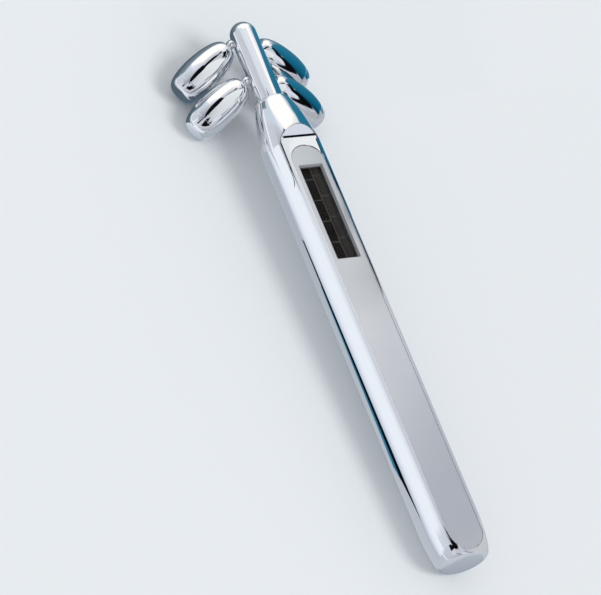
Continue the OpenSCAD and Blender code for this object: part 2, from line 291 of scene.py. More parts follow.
# %% [markdown]
# ### Bright chrome
# The bar, the stem, the rollers and their spacers are polished brass or zinc with
# nickel and chrome on top. Chrome is nearly a mirror, but not a perfect one: the
# polishing wheel leaves very shallow waves a few millimetres long, hands leave
# slightly duller patches, and wiping leaves hair-fine scratches. The waves go into
# the relief, and the patches and scratches into the roughness, all so slight that
# the reflections stay clean.

# %% Chrome
CHROME_WAVE = 2.5e-7
chrome = new_material("bright_chrome", (0.87, 0.88, 0.9), 1, 0.04)
hand_marks = cloudy(chrome, 90, 3)
wipe_marks = cloudy(chrome, 900, 4, (1, 0.04, 1))
marks = add_node(chrome, "ShaderNodeMath")
marks.operation = "MULTIPLY"
join(chrome, hand_marks, marks.inputs[0])
join(chrome, wipe_marks, marks.inputs[1])
dullness = spread(chrome, marks.outputs["Value"], 0.025, 0.06, 0.12, 0.4)
join(chrome, dullness, main_inputs(chrome)["Roughness"])
raise_relief(chrome, cloudy(chrome, 260, 1), CHROME_WAVE)
print("chrome waves", CHROME_WAVE / MM, "mm high")

# %% [markdown]
# ### Satin plate
# The inlaid plate is the one quiet surface: blasted with fine beads and plated, so
# that it holds a broad soft light with no picture in it. A grain of about a tenth
# of a millimetre gives that, with a slower cloud in the roughness. The walls of its
# opening keep the dull grey of the cut.

# %% Satin silver and the bare cut edge
satin = new_material("satin_silver", (0.80, 0.81, 0.835), 1, 0.36)
roughen(satin, cloudy(satin, 120, 3), 0.34, 0.4)
raise_relief(satin, cloudy(satin, 9000, 2), 4e-6)
cut_edge = new_material("cut_edge", (0.5, 0.51, 0.53), 0, 0.6)
tool_marks = cloudy(cut_edge, 3000, 3, (1, 1, 0.2))
two_tone(cut_edge, tool_marks, (0.46, 0.47, 0.49), (0.54, 0.55, 0.57))

# %% [markdown]
# ### The solar window
# Behind the opening lies a thin smoky pane with a non-glare coat, and behind that a
# thin-film cell. The film is almost black with a brown cast. It is divided into panes
# by fine scribed lines, which are a little lighter. The film on the right-hand half
# is a shade lighter than on the left, with a faint brushed sheen.

# %% Cell, gap and pane
SPLIT_X = 0.9
SPLIT_BLUR = 0.1
CELL_SIDE_X = 4.1
FILM_DARK = (0.0075, 0.0055, 0.0047)
FILM_PALE = (0.060, 0.057, 0.054)
cell_film = new_material("cell_film", FILM_DARK, 0, 0.3, Specular_IOR_Level=0.05)
split = add_node(cell_film, "ShaderNodeSeparateXYZ")
join(cell_film, object_place(cell_film), split.inputs["Vector"])
across = split.outputs["X"]
right_half = spread(cell_film, across, 0, 1, (SPLIT_X - SPLIT_BLUR) * MM, (SPLIT_X + SPLIT_BLUR) * MM)
paler = spread(cell_film, across, 0.25, 1, SPLIT_X * MM, CELL_SIDE_X * MM)
tone = add_node(cell_film, "ShaderNodeMath")
tone.operation = "MULTIPLY"
join(cell_film, right_half, tone.inputs[0])
join(cell_film, paler, tone.inputs[1])
two_tone(cell_film, tone.outputs["Value"], FILM_DARK, FILM_PALE)
roughen(cell_film, cloudy(cell_film, 1500, 3, (1, 0.1, 1)), 0.24, 0.36)

cell_gap = new_material("cell_gap", (0.10, 0.09, 0.082), 0, 0.4, Specular_IOR_Level=0.05)
roughen(cell_gap, cloudy(cell_gap, 6000, 2), 0.35, 0.5)

clear_pane = new_material("clear_pane", (0.01, 0.01, 0.011), 0, 0.05, Alpha=0.06)
two_tone(clear_pane, cloudy(clear_pane, 160, 3), (0.008, 0.008, 0.009), (0.014, 0.014, 0.015))

# %% [markdown]
# ### Plastics, foam and wire
# Moulded plastic shows the texture of its mould. The acetal of the bushes and of
# the stem's sleeve is milky and waxy. The foam tape is full of small cells. The
# wire's skin is soft and slightly uneven.

# %% Plastics
acetal = new_material("milky_acetal", (0.84, 0.83, 0.78), 0, 0.38,
                      Subsurface_Weight=0.15, Subsurface_Scale=0.001)
two_tone(acetal, cloudy(acetal, 400, 3), (0.82, 0.80, 0.74), (0.87, 0.86, 0.81))
roughen(acetal, cloudy(acetal, 2500, 3), 0.32, 0.45)
raise_relief(acetal, cloudy(acetal, 5000, 2), 3e-6)

black_plastic = new_material("black_plastic", (0.03, 0.03, 0.032), 0, 0.5)
flow_marks = cloudy(black_plastic, 700, 3)
two_tone(black_plastic, flow_marks, (0.026, 0.026, 0.028), (0.038, 0.038, 0.04))
roughen(black_plastic, cloudy(black_plastic, 3000, 3), 0.42, 0.6)
raise_relief(black_plastic, cloudy(black_plastic, 7000, 3), 8e-6)

# The cell tray's grey is paler than its plastic: painted light that lifts the shade in the narrow gap beside the
# cell.
grey_plastic = new_material("grey_plastic", (0.16, 0.155, 0.15), 0, 0.5)
two_tone(grey_plastic, cloudy(grey_plastic, 700, 3), (0.15, 0.145, 0.14), (0.17, 0.165, 0.16))
raise_relief(grey_plastic, cloudy(grey_plastic, 7000, 3), 8e-6)

foam = new_material("black_foam", (0.02, 0.02, 0.021), 0, 0.9)
cells = add_node(foam, "ShaderNodeTexVoronoi", Scale=5000)
join(foam, object_place(foam), cells.inputs["Vector"])
two_tone(foam, cells.outputs["Distance"], (0.012, 0.012, 0.013), (0.035, 0.035, 0.037))
raise_relief(foam, cells.outputs["Distance"], 4e-5)

wire_skin = new_material("red_wire_skin", (0.5, 0.03, 0.025), 0, 0.42)
two_tone(wire_skin, cloudy(wire_skin, 1200, 2), (0.44, 0.025, 0.02), (0.56, 0.035, 0.03))
roughen(wire_skin, cloudy(wire_skin, 3000, 2), 0.35, 0.5)

# %% [markdown]
# ### Board and capacitor
# The circuit board is glass fibre under green lacquer, with copper tracks that
# show as slightly raised, lighter green lines. The capacitor wears a shrunk blue
# sleeve with one pale stripe, which marks its negative side.

# %% Board and capacitor
board_green = new_material("board_lacquer", (0.02, 0.16, 0.07), 0, 0.3)
tracks = add_node(board_green, "ShaderNodeTexBrick", Scale=420, Mortar_Size=0.05,
                  Color1=(0, 0, 0, 1), Color2=(0, 0, 0, 1), Mortar=(1, 1, 1, 1))
join(board_green, object_place(board_green), tracks.inputs["Vector"])
two_tone(board_green, tracks.outputs["Color"], (0.012, 0.13, 0.055), (0.05, 0.26, 0.12))
weave = raise_relief(board_green, cloudy(board_green, 4000, 2), 4e-6)
raise_relief(board_green, tracks.outputs["Color"], 2e-5, weave)
roughen(board_green, cloudy(board_green, 900, 3), 0.22, 0.4)

can_sleeve = new_material("capacitor_sleeve", (0.1, 0.17, 0.32), 0, 0.35)
split = add_node(can_sleeve, "ShaderNodeSeparateXYZ")
join(can_sleeve, object_place(can_sleeve), split.inputs["Vector"])
STRIPE_EDGES = (1.35 * MM, 1.4 * MM)
stripe = spread(can_sleeve, split.outputs["X"], 0, 1, *STRIPE_EDGES)
two_tone(can_sleeve, stripe, (0.09, 0.16, 0.31), (0.55, 0.6, 0.66))
roughen(can_sleeve, cloudy(can_sleeve, 1500, 3), 0.28, 0.42)
raise_relief(can_sleeve, cloudy(can_sleeve, 1800, 2), 6e-6)

# %% [markdown]
# ### Brass and steel
# The contacts are rolled brass strip, so their scratches run along the strip. The
# axles, clips, nut and washer are plain turned or stamped steel, with the fine
# marks of the tool and a slight unevenness in their shine.

# %% Brass and steel
strip_brass = new_material("strip_brass", (0.80, 0.62, 0.28), 1, 0.28)
roughen(strip_brass, cloudy(strip_brass, 2500, 4, (1, 0.05, 1)), 0.2, 0.42)
two_tone(strip_brass, cloudy(strip_brass, 250, 3), (0.74, 0.56, 0.24), (0.84, 0.66, 0.32))
raise_relief(strip_brass, cloudy(strip_brass, 4000, 2, (1, 0.05, 1)), 3e-6)

steel = new_material("plain_steel", (0.62, 0.63, 0.65), 1, 0.25)
two_tone(steel, cloudy(steel, 500, 3), (0.58, 0.59, 0.61), (0.66, 0.67, 0.69))
roughen(steel, cloudy(steel, 2500, 4), 0.16, 0.34)
raise_relief(steel, cloudy(steel, 5000, 2), 3e-6)
print("finishes:", [m.name for m in (chrome, satin, cell_film, clear_pane, acetal, steel)])

# %% [markdown]
# ## The handle
# The handle is one round bar. Its end is rounded, its head closes in to the stem
# like half an egg, and a flat is milled on its front, with a small cove where the
# cutter came out. The cut leaves a long soft edge, because the bar was polished
# before it was plated, and a crisp arch at the top.
#
# The bar could be cut with a boolean and then bevelled, but the bevel would have to
# run over hundreds of narrow faces. Here the outline is spun in two sweeps, a fine
# one over the front and a coarse one over the back, and then the front is pressed
# down to the milled surface. A soft minimum of the two surfaces rounds the edge.

# %% Sizes of the bar
low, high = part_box("handle_shell")
BAR_R = (high.x - low.x) / 2 / MM
STEM_R = 4.2
BAR_LEN = 161.8
END_DROP = 2.55
END_R = BAR_R - END_DROP
END_LEN = 13
DISC_FLAT = 5.3
DISC_JOIN = 1.2
HEAD_LEN = 18.6
HEAD_START = BAR_LEN - HEAD_LEN
SHOULDER_RIM = 1.53
SHOULDER_R = STEM_R + SHOULDER_RIM
CORNER_R = 1.2
CORNER_Z = BAR_LEN - CORNER_R
HEAD_POWER = 1.4
HEAD_REACH = (CORNER_Z - HEAD_START) / (1 - (SHOULDER_R / BAR_R) ** 2) ** (1 / HEAD_POWER)
FACE_DEPTH = 2.75
FACE_Y = BAR_R - FACE_DEPTH
FACE_MARGIN = 17.6
FACE_END = BAR_LEN - FACE_MARGIN
COVE_R = 2
COVE_RAMP = math.radians(33)
print("bar radius", round(BAR_R, 3), "mm, milled face", round(FACE_Y, 3), "mm in front of its axis")


def bar_radius(z):
    """Radius of the bar before it is milled."""
    if z < END_LEN:
        return END_R + (BAR_R - END_R) * math.sqrt(1 - ((END_LEN - z) / END_LEN) ** 2)
    if z > HEAD_START:
        return BAR_R * math.sqrt(1 - ((z - HEAD_START) / HEAD_REACH) ** HEAD_POWER)
    return BAR_R


def disc_corner(steps):
    """Points of the soft corner between the flat end disc and the rounded end."""
    join_r = bar_radius(DISC_JOIN)
    step = 0.01
    slope = (bar_radius(DISC_JOIN + step) - join_r) / step
    corner_r = join_r - slope * DISC_JOIN
    points = []
    for t in evenly(0, 1, steps):
        near, middle, far = (1 - t) ** 2, 2 * t * (1 - t), t * t
        points.append((near * DISC_FLAT + middle * corner_r + far * join_r, far * DISC_JOIN))
    return points


def milled_depth(z):
    """Distance from the bar's axis to the milled surface in front of it."""
    rise = z - FACE_END
    if rise <= 0:
        return FACE_Y
    cove_len = COVE_R * math.sin(COVE_RAMP)
    if rise <= cove_len:
        return FACE_Y + COVE_R - math.sqrt(COVE_R ** 2 - rise ** 2)
    cove_height = COVE_R * (1 - math.cos(COVE_RAMP))
    return FACE_Y + cove_height + (rise - cove_len) * math.tan(COVE_RAMP)


# %% The spun bar
FRONT_HALF = math.radians(52)
FRONT_STEPS = 170
BACK_STEPS = 110
FINE_LOW = FACE_END - 1.2
FINE_HIGH = FACE_END + 6.4
END_DISC_RINGS = (0, 2, 4)
rows = evenly(DISC_JOIN, END_LEN, 48)
rows += evenly(END_LEN, FINE_LOW, 40)
rows += evenly(FINE_LOW, FINE_HIGH, 95)
rows += evenly(FINE_HIGH, CORNER_Z, 40)
outline = [(r, 0) for r in END_DISC_RINGS]
outline += disc_corner(20)
outline += [(bar_radius(z), z) for z in rows]
outline += [
    (SHOULDER_R - CORNER_R * (1 - math.cos(a)), CORNER_Z + CORNER_R * math.sin(a))
    for a in evenly(0, math.pi / 2, 16)]
outline += [(SHOULDER_R - CORNER_R, BAR_LEN), (0, BAR_LEN)]

start = [(-r * math.sin(FRONT_HALF), -r * math.cos(FRONT_HALF), z) for r, z in outline]
handle = outline_object("handle_body", start)
edit_all()
for steps, angle in ((FRONT_STEPS, 2 * FRONT_HALF), (BACK_STEPS, math.tau - 2 * FRONT_HALF)):
    bpy.ops.mesh.spin(steps=steps, angle=angle, center=(0, 0, 0), axis=(0, 0, 1))
close_up()
print("spun bar:", len(handle.data.polygons), "faces")

# %% The milled face
LONG_EDGE = 1.0
ARCH_EDGE = 0.1
EDGE_CHANGE_Z = FACE_END - 1.0
EDGE_CHANGE_LEN = 1.2
CORE_R = 3
TOP_SKIN = 0.05


def soft_min(a, b, softness):
    """The smaller of two numbers, rounded where they cross."""
    overlap = max(softness - abs(a - b), 0)
    return min(a, b) - overlap ** 2 / (4 * softness)


def edge_softness(z):
    """The long edges are rounded by polishing, and the arch stays crisp."""
    t = min(max((z - EDGE_CHANGE_Z) / EDGE_CHANGE_LEN, 0), 1)
    t = t * t * (3 - 2 * t)
    return LONG_EDGE + (ARCH_EDGE - LONG_EDGE) * t


for vertex in handle.data.vertices:
    x, y, z = vertex.co
    radius = math.hypot(x, y)
    if y >= 0 or radius < CORE_R or z > BAR_LEN - TOP_SKIN:
        continue
    facing = -y / radius
    pressed = soft_min(radius, milled_depth(z) / facing, edge_softness(z))
    vertex.co.x *= pressed / radius
    vertex.co.y *= pressed / radius
face_y = max(-v.co.y for v in handle.data.vertices if v.co.z < FACE_END)
print("face pressed to", round(face_y, 2), "mm")

# %% [markdown]
# ### The pocket, the cavity and the bore
# The plate lies in a pocket with round ends. Its rim has a chamfer of a tenth of a
# millimetre, which catches a thin line of light all round the plate. Under the
# pocket a slot opens into the cavity that holds the board, and above the cavity
# lie the chamber for the stem's nut and the bore for its sleeve. These are plain
# cutter shapes taken out one by one, as a mill and a drill would.

# %% A cutter with round ends
PLATE_HALF = 5.80
PLATE_LOW = 1.9
PLATE_MARGIN = 2.6
PLATE_HIGH = FACE_END - PLATE_MARGIN
PLATE_SINK = 0.2
PLATE_Y = FACE_Y - PLATE_SINK
PLATE_T = 1.7
TAPE_T = 0.1
POCKET_GAP = 0.05
POCKET_Y = PLATE_Y - PLATE_T - TAPE_T
CHAMFER = 0.12


def stadium(name, half_w, low_z, high_z, front_y, back_y, taper=0.0):
    """A block with round ends: a circle whose upper half is moved up, then extruded."""
    sides = 128
    deselect()
    bpy.ops.mesh.primitive_circle_add(
        vertices=sides, radius=half_w, fill_type="NGON",
        location=(0, -front_y, low_z + half_w), rotation=(math.pi / 2, math.pi / sides, 0))
    obj = bpy.context.object
    obj.name = name
    bpy.ops.object.transform_apply()
    edit_all()
    bpy.ops.mesh.extrude_region_move(TRANSFORM_OT_translate={"value": (0, front_y - back_y, 0)})
    close_up()
    middle = low_z + half_w
    for vertex in obj.data.vertices:
        if vertex.co.y > -(front_y + back_y) / 2:
            vertex.co.x *= 1 - taper / half_w
            vertex.co.z = middle + (vertex.co.z - middle) * (1 - taper / half_w)
        if vertex.co.z > middle:
            vertex.co.z += high_z - low_z - 2 * half_w
    return obj


# %% Cut the pocket, the slot, the cavity and the bores
OVERLAP = 0.1
SLOT_HALF = 4.6
SLOT_LOW = 3.9
SLOT_HIGH = 139.6
CAVITY_R = 7.4
CAVITY_LOW = 8
CAVITY_HIGH = 142.4
CAVITY_Y = 3.5
NUT_SPACE_R = 4.44
CHAMBER_HIGH = 148.8
SLEEVE_R = 2.65
pocket_half = PLATE_HALF + POCKET_GAP
pocket_low = PLATE_LOW - POCKET_GAP
pocket_high = PLATE_HIGH + POCKET_GAP
cut(handle, stadium("pocket", pocket_half, pocket_low, pocket_high, BAR_R, POCKET_Y))
cut(handle, stadium("chamfer", pocket_half + CHAMFER, pocket_low - CHAMFER, pocket_high + CHAMFER,
                    FACE_Y, FACE_Y - CHAMFER, CHAMFER))
cut(handle, stadium("slot", SLOT_HALF, SLOT_LOW, SLOT_HIGH, FACE_Y, CAVITY_Y - OVERLAP))

deselect()
bpy.ops.mesh.primitive_cylinder_add(
    vertices=96, radius=CAVITY_R, depth=CAVITY_HIGH - CAVITY_LOW,
    location=(0, 0, (CAVITY_LOW + CAVITY_HIGH) / 2))
cavity = bpy.context.object
bpy.ops.object.transform_apply()
edit_all()
bpy.ops.mesh.bisect(
    plane_co=(0, -CAVITY_Y, 0), plane_no=(0, -1, 0), use_fill=True, clear_outer=True)
bpy.ops.object.mode_set(mode="OBJECT")
cut(handle, cavity)
cut(handle, turned("bores", [
    (0, CAVITY_HIGH - OVERLAP), (NUT_SPACE_R, CAVITY_HIGH - OVERLAP), (NUT_SPACE_R, CHAMBER_HIGH),
    (SLEEVE_R, CHAMBER_HIGH), (SLEEVE_R, BAR_LEN + 1), (0, BAR_LEN + 1)], 96))
smooth(handle, 28)
finish_piece(handle, LAY_DOWN, "handle", chrome, "chrome", "handle_shell")

# %% [markdown]
# ## The inlaid plate
# The plate is the same stadium shape, a fifth of a millimetre below the face, with
# a window cut through it. Its edges are broken by a tenth of a millimetre. The
# shading angle is kept small here, so that the flat front stays dead flat: smooth
# shading across the rounded edge would tilt the light over the whole plate.

# %% The plate and its window
WINDOW_W = 8.3
WINDOW_LEN = 33.5
WINDOW_MARGIN = 7
WINDOW_HIGH = PLATE_HIGH - WINDOW_MARGIN
WINDOW_LOW = WINDOW_HIGH - WINDOW_LEN
WINDOW_CORNER = 0.35
CUTTER_DEPTH = 6
RIM = 0.14
plate = stadium("inlay_plate_skin", PLATE_HALF, PLATE_LOW, PLATE_HIGH, PLATE_Y, PLATE_Y - PLATE_T)
deselect()
bpy.ops.mesh.primitive_cube_add(size=1, location=(0, -PLATE_Y, (WINDOW_LOW + WINDOW_HIGH) / 2))
opening = bpy.context.object
opening.dimensions = (WINDOW_W, CUTTER_DEPTH, WINDOW_LEN)
bpy.ops.object.transform_apply()
soften(opening, WINDOW_CORNER, 5, 30)
cut(plate, opening)
soften(plate, RIM, 3, 50)
smooth(plate, 12)
cut_faces = [
    face.index for face in plate.data.polygons
    if abs(face.center.x) < WINDOW_W / 2 + RIM and abs(face.normal.y) < 0.6
    and WINDOW_LOW - RIM < face.center.z < WINDOW_HIGH + RIM]
finish_piece(plate, LAY_DOWN, "handle", satin, "satin_plate", "inlay_plate")
plate.data.materials.append(cut_edge)
for index in cut_faces:
    plate.data.polygons[index].material_index = 1
print(len(cut_faces), "faces in the opening's walls")

# %% [markdown]
# ## The solar cell
# The cell is a dark film in ten panes, five on each side of a scribed line, and
# the lines of the right-hand side sit a little higher. A thin backing shows in the
# gaps. Each pane is a cube, thinned and given broken edges, so that the gaps are real
# and catch the light in any view.

# %% The backing and the panes
CELL_MARGIN = 0.3
CELL_W = WINDOW_W + CELL_MARGIN
LENS_T = 0.8
LENS_CLEARANCE = 0.03
CELL_FRONT = PLATE_Y - PLATE_T - LENS_T - LENS_CLEARANCE
CELL_T = 0.37
CELL_LOW = WINDOW_LOW - CELL_MARGIN
CELL_HIGH = WINDOW_HIGH + CELL_MARGIN
PANE_T = 0.06
PANE_GAP = 0.3
PANE_PITCH = 7.5
FIRST_LINE = 108.3
LEFT_LINES = [FIRST_LINE + PANE_PITCH * i for i in range(4)]
STAGGER = 1.4
BROKEN_EDGE = 0.02


def block(name, left_x, right_x, low_z, high_z, front_y, back_y):
    """A flat block, its front toward -Y, with its edges just broken."""
    deselect()
    bpy.ops.mesh.primitive_cube_add(size=1, location=(
        (left_x + right_x) / 2, -(front_y + back_y) / 2, (low_z + high_z) / 2))
    obj = bpy.context.object
    obj.name = name
    obj.dimensions = (right_x - left_x, front_y - back_y, high_z - low_z)
    bpy.ops.object.transform_apply()
    soften(obj, BROKEN_EDGE, 1, 30)
    return obj


def cell_column(left_x, right_x, lines):
    """The panes between the lines of one column."""
    stops = [CELL_LOW] + lines + [CELL_HIGH]
    return [
        block("pane", left_x, right_x, low_z + PANE_GAP / 2, high_z - PANE_GAP / 2,
              CELL_FRONT, CELL_FRONT - PANE_T)
        for low_z, high_z in zip(stops, stops[1:])]


backing = block("cell_backing", -CELL_W / 2, CELL_W / 2, CELL_LOW, CELL_HIGH,
                CELL_FRONT - PANE_T, CELL_FRONT - CELL_T)
finish_piece(backing, LAY_DOWN, "handle", cell_gap, "dark_cell", "solar_cell")
panes = cell_column(-CELL_W / 2, SPLIT_X - PANE_GAP / 2, LEFT_LINES)
panes += cell_column(SPLIT_X + PANE_GAP / 2, CELL_W / 2, [z + STAGGER for z in LEFT_LINES])
for pane in panes:
    pane.select_set(True)
bpy.context.view_layer.objects.active = panes[0]
bpy.ops.object.join()
film = bpy.context.object
film.name = "cell_panes"
finish_piece(film, LAY_DOWN, "handle", cell_film, "dark_cell")

# %% [markdown]
# ## The stem
# The stem is turned from a rod with a ball end. A thinner spigot runs down through
# the head. Four small seats are drilled where the axles leave it at a slant, so
# that each spacer stands square on its own flat spot.

# %% The stem and its seats
AXLE_R = 1.1
SEAT_R = 1.5
SEAT_AT = STEM_R + 0.1
STEM_LOW = BAR_LEN + 0.3
STEM_TOP = BAR_LEN + 29.59
TIP_Z = STEM_TOP - STEM_R
SPIGOT_R = 2
SPIGOT_LOW = 143.8
SPIGOT_BEVEL = 0.3
STEM_BEVEL = 0.1
DRILL_START = 1.2
DRILL_END = 9
outline = [
    (0, SPIGOT_LOW), (SPIGOT_R - SPIGOT_BEVEL, SPIGOT_LOW), (SPIGOT_R, SPIGOT_LOW + SPIGOT_BEVEL),
    (SPIGOT_R, STEM_LOW), (STEM_R - STEM_BEVEL, STEM_LOW), (STEM_R, STEM_LOW + STEM_BEVEL)]
outline += [(STEM_R, z) for z in evenly(STEM_LOW + 0.6, TIP_Z, 60)]
outline += [(STEM_R * math.cos(a), TIP_Z + STEM_R * math.sin(a)) for a in evenly(0, math.pi / 2, 30)]
outline += [(0, STEM_TOP)]
stem = turned("stem_skin", outline, 160)
drill_outline = [
    (0, DRILL_START), (AXLE_R, DRILL_START), (AXLE_R, SEAT_AT), (SEAT_R, SEAT_AT),
    (SEAT_R, DRILL_END), (0, DRILL_END)]
for place in AXLES.values():
    drill = turned("drill", drill_outline, 48)
    only(drill)
    drill.matrix_world = LAY_DOWN.inverted() @ place
    bpy.ops.object.transform_apply()
    cut(stem, drill)
smooth(stem)
finish_piece(stem, LAY_DOWN, "handle", chrome, "chrome", "stem")

# %% [markdown]
# ## The spacers
# Between the stem and each roller sits a small round bead on a thin neck. It keeps
# the roller off the stem. One is turned and copied to the other three axles.

# %% One spacer, four times
ROLLER_OFFSET = 2.55
ROLLER_START = STEM_R + ROLLER_OFFSET
SPACER_END = ROLLER_START - 0.12
BEAD_MIDDLE = SEAT_AT + 0.9
BEAD_HALF = 0.9
NECK_R = 1.2
BEAD_POWER = 0.7
bead = [
    (AXLE_R + (SEAT_R - AXLE_R) * math.cos(a) ** BEAD_POWER, BEAD_MIDDLE + BEAD_HALF * math.sin(a))
    for a in (math.radians(d) for d in range(-80, 81, 10))]
neck_start = bead[-1][1] + 0.03
outline = [(AXLE_R, SEAT_AT)] + bead
outline += [(NECK_R, neck_start), (NECK_R, SPACER_END), (AXLE_R, SPACER_END), (AXLE_R, SEAT_AT)]
spacer = turned("spacer", outline, 64)
smooth(spacer, 40)
for key, place in AXLES.items():
    twin = copy_of(spacer, "spacer_skin_" + key)
    finish_piece(twin, place, "handle", chrome, "chrome", "spacer_" + key)
bpy.data.objects.remove(spacer)

# %% [markdown]
# ## The rollers
# Each roller is a barrel, slimmer toward the stem, with a separate cap at its outer
# end. The joint shows as a hair-fine groove. Inside, the barrel is bored for a bush
# at each end and for the clip on the axle. Barrel, cap and inner bush are each drawn
# as a closed outline and spun, so the bores need no booleans, and are then copied
# to the four axles. Each set rides on the body that its hinge turns.

# %% Outline of a roller
ROLLER_LEN = 21.9
ROLLER_R = 5.88
ROLLER_INNER_R = 2.45
WIDE_AT = 12.9
CAP_LEN = 4.1
FULLNESS = 1.78
INNER_ROUND = 3.5
OUTER_ROUND = 5
INNER_HALF = WIDE_AT / (1 - (ROLLER_INNER_R / ROLLER_R) ** INNER_ROUND) ** (1 / FULLNESS)
OUTER_HALF = ROLLER_LEN - WIDE_AT


def roller_radius(x):
    """Radius of the roller at a distance from its inner end."""
    if x < WIDE_AT:
        u, power = (WIDE_AT - x) / INNER_HALF, INNER_ROUND
    else:
        u, power = (x - WIDE_AT) / OUTER_HALF, OUTER_ROUND
    return ROLLER_R * max(0, 1 - u ** FULLNESS) ** (1 / power)


def on_roller(outline):
    """Move an outline, drawn from the roller's inner end, out along the axle."""
    return [(r, ROLLER_START + x) for r, x in outline]


# %% Barrel, cap and bush
SEAM = ROLLER_LEN - CAP_LEN
GROOVE = 0.06
GROOVE_DEPTH = 0.1
LIP_R = 1.5
LIP = 0.4
BUSH_R = 1.85
BUSH_BORE = 1.15
BUSH_LEN = 5
CAP_POCKET_R = 3.48
CAP_POCKET = SEAM - 3.4
CAP_HOLLOW_R = 2.6
CAP_HOLLOW = 2.6
CAP_LOW = SEAM - 1.2
LIP_BEVEL = 0.05
INNER_EDGE = 0.12
BUSH_BEVEL = 0.1
BARREL_STEPS = 56
CAP_STEPS = 44
groove_r = roller_radius(SEAM) - GROOVE_DEPTH
xs = [SEAM * (1 - math.cos(math.pi * i / BARREL_STEPS)) / 2 for i in range(BARREL_STEPS + 1)]
barrel_outline = [(LIP_R, LIP_BEVEL), (LIP_R + LIP_BEVEL, 0), (ROLLER_INNER_R - INNER_EDGE, 0)]
barrel_outline += [(roller_radius(x), x) for x in xs if INNER_EDGE < x < SEAM - GROOVE]
barrel_outline += [
    (roller_radius(SEAM), SEAM - GROOVE), (groove_r, SEAM), (CAP_POCKET_R, SEAM),
    (CAP_POCKET_R, CAP_POCKET), (BUSH_R, CAP_POCKET), (BUSH_R, CAP_POCKET - BUSH_LEN),
    (LIP_R, CAP_POCKET - BUSH_LEN), (LIP_R, BUSH_LEN), (BUSH_R, BUSH_LEN), (BUSH_R, LIP),
    (LIP_R, LIP), (LIP_R, LIP_BEVEL)]
bends = [math.pi / 2 * i / CAP_STEPS for i in range(CAP_STEPS + 1)]
xs = [SEAM + GROOVE + (CAP_LEN - GROOVE) * math.sin(bend) for bend in bends]
cap_outline = [
    (0, CAP_LOW + CAP_HOLLOW), (CAP_HOLLOW_R, CAP_LOW + CAP_HOLLOW), (CAP_HOLLOW_R, CAP_LOW),
    (CAP_POCKET_R, CAP_LOW), (CAP_POCKET_R, SEAM), (groove_r, SEAM)]
cap_outline += [(roller_radius(x), x) for x in xs]
bush_outline = [
    (BUSH_BORE, LIP + BUSH_BEVEL), (BUSH_BORE + BUSH_BEVEL, LIP), (BUSH_R, LIP), (BUSH_R, BUSH_LEN),
    (BUSH_BORE, BUSH_LEN), (BUSH_BORE, LIP + BUSH_BEVEL)]
barrel = turned("barrel", on_roller(barrel_outline), 144)
cap = turned("cap", on_roller(cap_outline), 144)
bush = turned("bush", on_roller(bush_outline), 64)
for part in (barrel, cap, bush):
    smooth(part)
print("roller", round(ROLLER_LEN, 1), "mm long and", round(2 * ROLLER_R, 1), "mm thick")

# %% Four rollers
ROLLER_PARTS = (
    (barrel, "roller_skin_", chrome, "chrome", "roller_"),
    (cap, "cap_skin_", chrome, "chrome", "cap_"),
    (bush, "bush_skin_", acetal, "bush_plastic", "inner_bush_"))
for key, place in AXLES.items():
    for part, skin, material, slot, node in ROLLER_PARTS:
        finish_piece(copy_of(part, skin + key), place, "roller_" + key, material, slot, node + key)
for part in (barrel, cap, bush):
    bpy.data.objects.remove(part)

# %% [markdown]
# ## The pieces that stay as CAD
# The pane, the tape, the electronics and the small fastenings are right as they
# are. Each keeps its CAD mesh and gets the finish of its real material.

# %% Finishes for the CAD nodes
FINISHES = {
    "window_lens": clear_pane,
    "plate_tape": foam,
    # paler than its plastic: painted light in the tray's shaded gap
    "cell_tray": grey_plastic,
    "converter_chip": black_plastic,
    "insulating_washer": black_plastic,
    "circuit_board": board_green,
    "storage_capacitor": can_sleeve,
    "cell_leads": wire_skin,
    "stem_contact": strip_brass,
    "handle_contact": strip_brass,
    "stem_sleeve": acetal,
    "outer_bush": acetal,
    "lock_washer": steel,
    "stem_nut": steel,
    "axle": steel,
    "clip": steel,
}
for name, node in nodes.items():
    for start_of_name, material in FINISHES.items():
        if name.startswith(start_of_name):
            node.data.materials.clear()
            node.data.materials.append(material)
            print(name, "is finished in", material.name)

# %% [markdown]
# ## The studio
# Chrome is lit by what it reflects, so the studio is built of large plain cards,
# as a product photographer would: a wide white softbox in front, blue-white and grey
# cards on the left, a lilac softbox behind, black flags between them that draw the
# dark lines, and grey walls on the right. Each card is a grid wrapped round a centre
# between two azimuths and two elevations, and its edges fade over a few degrees.
# Azimuth is measured from +Y toward +X. The far cards hang one in front of the
# other, each a little nearer than the last. The cards show only in reflections:
# they don't light the floor, and the camera doesn't see them. Each glows at a plain
# strength, where 1 is white.

# %% The glow of a card
WHITE = (1.16, 1.13, 1.09)
BLUE_WHITE = (0.94, 0.98, 1.03)
PALE_BLUE = (0.74, 0.80, 0.88)
PALE_GREY = (0.58, 0.61, 0.66)
GREY = (0.50, 0.53, 0.58)
LILAC = (0.77, 0.76, 0.85)
WARM_GREY = (0.62, 0.63, 0.66)
BLACK = (0.004, 0.004, 0.005)
TEAL = (0.026, 0.21, 0.345)
DEEP_TEAL = (0.003, 0.12, 0.21)
SMOKY_TEAL = (0.13, 0.18, 0.22)

glow = bpy.data.materials.new("card_glow")
glow.use_nodes = True
glow.node_tree.nodes.clear()
card_colour = add_node(glow, "ShaderNodeAttribute")
card_colour.attribute_name = "card_colour"
emission = add_node(glow, "ShaderNodeEmission")
nothing = add_node(glow, "ShaderNodeBsdfTransparent")
fading = add_node(glow, "ShaderNodeMixShader")
output = add_node(glow, "ShaderNodeOutputMaterial")
join(glow, card_colour.outputs["Color"], emission.inputs["Color"])
join(glow, card_colour.outputs["Alpha"], fading.inputs["Fac"])
join(glow, nothing.outputs["BSDF"], fading.inputs[1])
join(glow, emission.outputs["Emission"], fading.inputs[2])
join(glow, fading.outputs["Shader"], output.inputs["Surface"])
glow.cycles.emission_sampling = "NONE"


